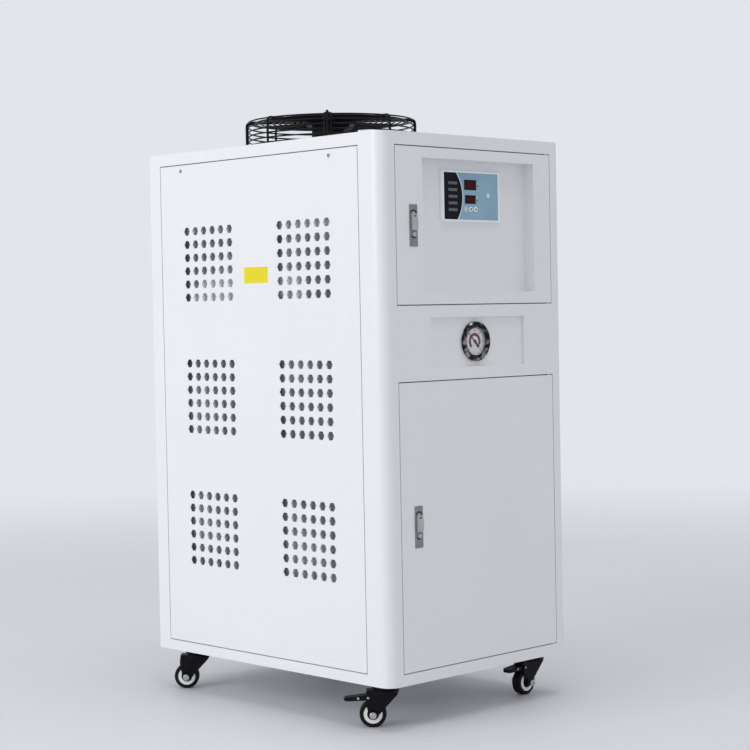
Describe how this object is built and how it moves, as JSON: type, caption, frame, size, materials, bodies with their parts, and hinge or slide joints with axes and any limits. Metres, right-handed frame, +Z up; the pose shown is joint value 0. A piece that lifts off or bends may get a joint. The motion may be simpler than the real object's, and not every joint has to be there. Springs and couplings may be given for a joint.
{
  "type": "industrial water chiller",
  "caption": "Air-cooled water chiller: white sheet cabinet on swivel casters, roof fan under a wire guard, perforated sides, doors with controller, pressure gauge and flush locks",
  "frame": {"origin": "on the floor, under the centre of the bounding box", "axes": "+Z up, -Y towards the front with the doors, +X to the right when facing the front"},
  "size_m": [0.5345, 0.7443, 1.2073],
  "materials": {
    "cabinet_paint": "smooth white powder coat on sheet steel",
    "filter_mesh": "woven grey nylon dust filter",
    "zinc_screw": "zinc plated steel",
    "white_abs": "moulded white ABS",
    "printed_face": "printed polycarbonate film, blue grey with a navy field",
    "smoked_window": "dark red display window",
    "black_gauge_case": "black stoved steel",
    "chrome": "polished chrome ring",
    "gauge_dial": "white enamelled dial",
    "gauge_needle": "black aluminium pointer",
    "gauge_glass": "clear gauge glass",
    "lock_zinc": "satin grey die-cast zinc",
    "black_wire": "black powder coat on steel wire",
    "black_motor": "black enamel on steel",
    "galvanised": "galvanised sheet",
    "coil_fins": "aluminium fin block",
    "electrical": "light grey contactors and terminals",
    "tank_plastic": "rotation moulded polyethylene",
    "pump_paint": "blue enamel on cast iron and steel",
    "brass_fitting": "turned brass",
    "water_hose": "dark insulated water pipe",
    "copper": "drawn copper pipe",
    "black_nylon": "black nylon",
    "lead_rubber": "black rubber sheath",
    "black_steel": "black coated pressed steel",
    "caster_wheel": "black tread with a pale ring"
  },
  "bodies": {
    "cabinet": {"front_frame": "cabinet_paint", "rear_frame": "cabinet_paint", "top_cover": "cabinet_paint", "base_tray": "cabinet_paint", "left_panel": "cabinet_paint", "right_panel": "cabinet_paint", "rear_panel": "cabinet_paint", "dust_filters": "filter_mesh", "panel_screws": "zinc_screw", "hinge_pins": "zinc_screw", "guard_screws": "zinc_screw", "gauge_case": "black_gauge_case", "gauge_bezel": "chrome", "gauge_dial": "gauge_dial", "gauge_glass": "gauge_glass", "fan_guard": "black_wire", "fan_motor": "black_motor", "fan_shroud": "galvanised", "cable_glands": "black_nylon", "motor_lead": "lead_rubber", "condenser_rails": "galvanised", "condenser_coil": "coil_fins", "shelf": "galvanised", "mounting_plate": "galvanised", "electrical_parts": "electrical", "water_tank": "tank_plastic", "compressor": "black_motor", "pump": "pump_paint", "water_ports": "brass_fitting", "water_pipes": "water_hose", "refrigerant_pipes": "copper", "caster_plates": "black_steel"},
    "upper_door": {"upper_door": "cabinet_paint", "controller_housing": "white_abs", "controller_face": "printed_face", "display_windows": "smoked_window", "upper_lock_body": "lock_zinc"},
    "lower_door": {"lower_door": "cabinet_paint", "lower_lock_body": "lock_zinc"},
    "fan_rotor": {"fan_rotor": "black_motor"},
    "gauge_needle": {"gauge_needle": "gauge_needle"},
    "upper_lock_spindle": {"upper_lock_cam": "lock_zinc"},
    "upper_lock_lever": {"upper_lock_lever": "lock_zinc"},
    "upper_lock_button": {"upper_lock_button": "lock_zinc"},
    "lower_lock_spindle": {"lower_lock_cam": "lock_zinc"},
    "lower_lock_lever": {"lower_lock_lever": "lock_zinc"},
    "lower_lock_button": {"lower_lock_button": "lock_zinc"},
    "set_button": {"set_button": "white_abs"},
    "down_button": {"down_button": "white_abs"},
    "up_button": {"up_button": "white_abs"},
    "front_left_fork": {"front_left_fork": "black_steel"},
    "front_left_wheel": {"front_left_wheel": "caster_wheel"},
    "front_left_pedal": {"front_left_brake_pedal": "black_steel"},
    "front_right_fork": {"front_right_fork": "black_steel"},
    "front_right_wheel": {"front_right_wheel": "caster_wheel"},
    "front_right_pedal": {"front_right_brake_pedal": "black_steel"},
    "rear_left_fork": {"rear_left_fork": "black_steel"},
    "rear_left_wheel": {"rear_left_wheel": "caster_wheel"},
    "rear_right_fork": {"rear_right_fork": "black_steel"},
    "rear_right_wheel": {"rear_right_wheel": "caster_wheel"}
  },
  "joints": [
    {"name": "upper_door_hinge", "type": "hinge", "parent": "cabinet", "child": "upper_door", "pos_m": [0.214, -0.36025, 0.959], "axis": [0, 0, 1], "range_deg": [0, 110]},
    {"name": "upper_lock_turn", "type": "hinge", "parent": "upper_door", "child": "upper_lock_spindle", "pos_m": [-0.1755, -0.36525, 0.979], "axis": [0, 1, 0], "range_deg": [0, 90]},
    {"name": "upper_lever_lift", "type": "hinge", "parent": "upper_lock_spindle", "child": "upper_lock_lever", "pos_m": [-0.1755, -0.36875, 0.979], "axis": [-1, 0, 0], "range_deg": [0, 60]},
    {"name": "upper_lock_press", "type": "slide", "parent": "upper_door", "child": "upper_lock_button", "axis": [0, 1, 0], "range_m": [0, 0.002], "stiffness_N_per_m": 400},
    {"name": "lower_door_hinge", "type": "hinge", "parent": "cabinet", "child": "lower_door", "pos_m": [0.214, -0.36025, 0.3855], "axis": [0, 0, 1], "range_deg": [0, 110]},
    {"name": "lower_lock_turn", "type": "hinge", "parent": "lower_door", "child": "lower_lock_spindle", "pos_m": [-0.1755, -0.36525, 0.4055], "axis": [0, 1, 0], "range_deg": [0, 90]},
    {"name": "lower_lever_lift", "type": "hinge", "parent": "lower_lock_spindle", "child": "lower_lock_lever", "pos_m": [-0.1755, -0.36875, 0.4055], "axis": [-1, 0, 0], "range_deg": [0, 60]},
    {"name": "lower_lock_press", "type": "slide", "parent": "lower_door", "child": "lower_lock_button", "axis": [0, 1, 0], "range_m": [0, 0.002], "stiffness_N_per_m": 400},
    {"name": "set_press", "type": "slide", "parent": "upper_door", "child": "set_button", "axis": [0, 1, 0], "range_m": [0, 0.001], "stiffness_N_per_m": 300},
    {"name": "down_press", "type": "slide", "parent": "upper_door", "child": "down_button", "axis": [0, 1, 0], "range_m": [0, 0.001], "stiffness_N_per_m": 300},
    {"name": "up_press", "type": "slide", "parent": "upper_door", "child": "up_button", "axis": [0, 1, 0], "range_m": [0, 0.001], "stiffness_N_per_m": 300},
    {"name": "fan_spin", "type": "hinge", "parent": "cabinet", "child": "fan_rotor", "pos_m": [0, 0.04845, 1.136], "axis": [0, 0, 1], "continuous": true},
    {"name": "needle_turn", "type": "hinge", "parent": "cabinet", "child": "gauge_needle", "pos_m": [-0.003, -0.35925, 0.735], "axis": [0, 1, 0], "range_deg": [-90, 180], "stiffness_Nm_per_rad": 0.001},
    {"name": "front_left_swivel", "type": "hinge", "parent": "cabinet", "child": "front_left_fork", "pos_m": [-0.212, -0.30225, 0.07], "axis": [0, 0, 1], "continuous": true},
    {"name": "front_left_roll", "type": "hinge", "parent": "front_left_fork", "child": "front_left_wheel", "pos_m": [-0.22923, -0.28555, 0.026], "axis": [-0.6959, -0.7181, 0], "continuous": true},
    {"name": "front_left_brake", "type": "hinge", "parent": "front_left_fork", "child": "front_left_pedal", "pos_m": [-0.2357, -0.27929, 0.058], "axis": [-0.6959, -0.7181, 0], "range_deg": [0, 10]},
    {"name": "front_right_swivel", "type": "hinge", "parent": "cabinet", "child": "front_right_fork", "pos_m": [0.212, -0.30225, 0.07], "axis": [0, 0, 1], "continuous": true},
    {"name": "front_right_roll", "type": "hinge", "parent": "front_right_fork", "child": "front_right_wheel", "pos_m": [0.188, -0.30225, 0.026], "axis": [0, -1, 0], "continuous": true},
    {"name": "front_right_brake", "type": "hinge", "parent": "front_right_fork", "child": "front_right_pedal", "pos_m": [0.179, -0.30225, 0.058], "axis": [0, -1, 0], "range_deg": [0, 10]},
    {"name": "rear_left_swivel", "type": "hinge", "parent": "cabinet", "child": "rear_left_fork", "pos_m": [-0.212, 0.27075, 0.07], "axis": [0, 0, 1], "continuous": true},
    {"name": "rear_left_roll", "type": "hinge", "parent": "rear_left_fork", "child": "rear_left_wheel", "pos_m": [-0.22923, 0.28745, 0.026], "axis": [-0.6959, -0.7181, 0], "continuous": true},
    {"name": "rear_right_swivel", "type": "hinge", "parent": "cabinet", "child": "rear_right_fork", "pos_m": [0.212, 0.27075, 0.07], "axis": [0, 0, 1], "continuous": true},
    {"name": "rear_right_roll", "type": "hinge", "parent": "rear_right_fork", "child": "rear_right_wheel", "pos_m": [0.19121, 0.28275, 0.026], "axis": [-0.5, -0.866, 0], "continuous": true}
  ]
}
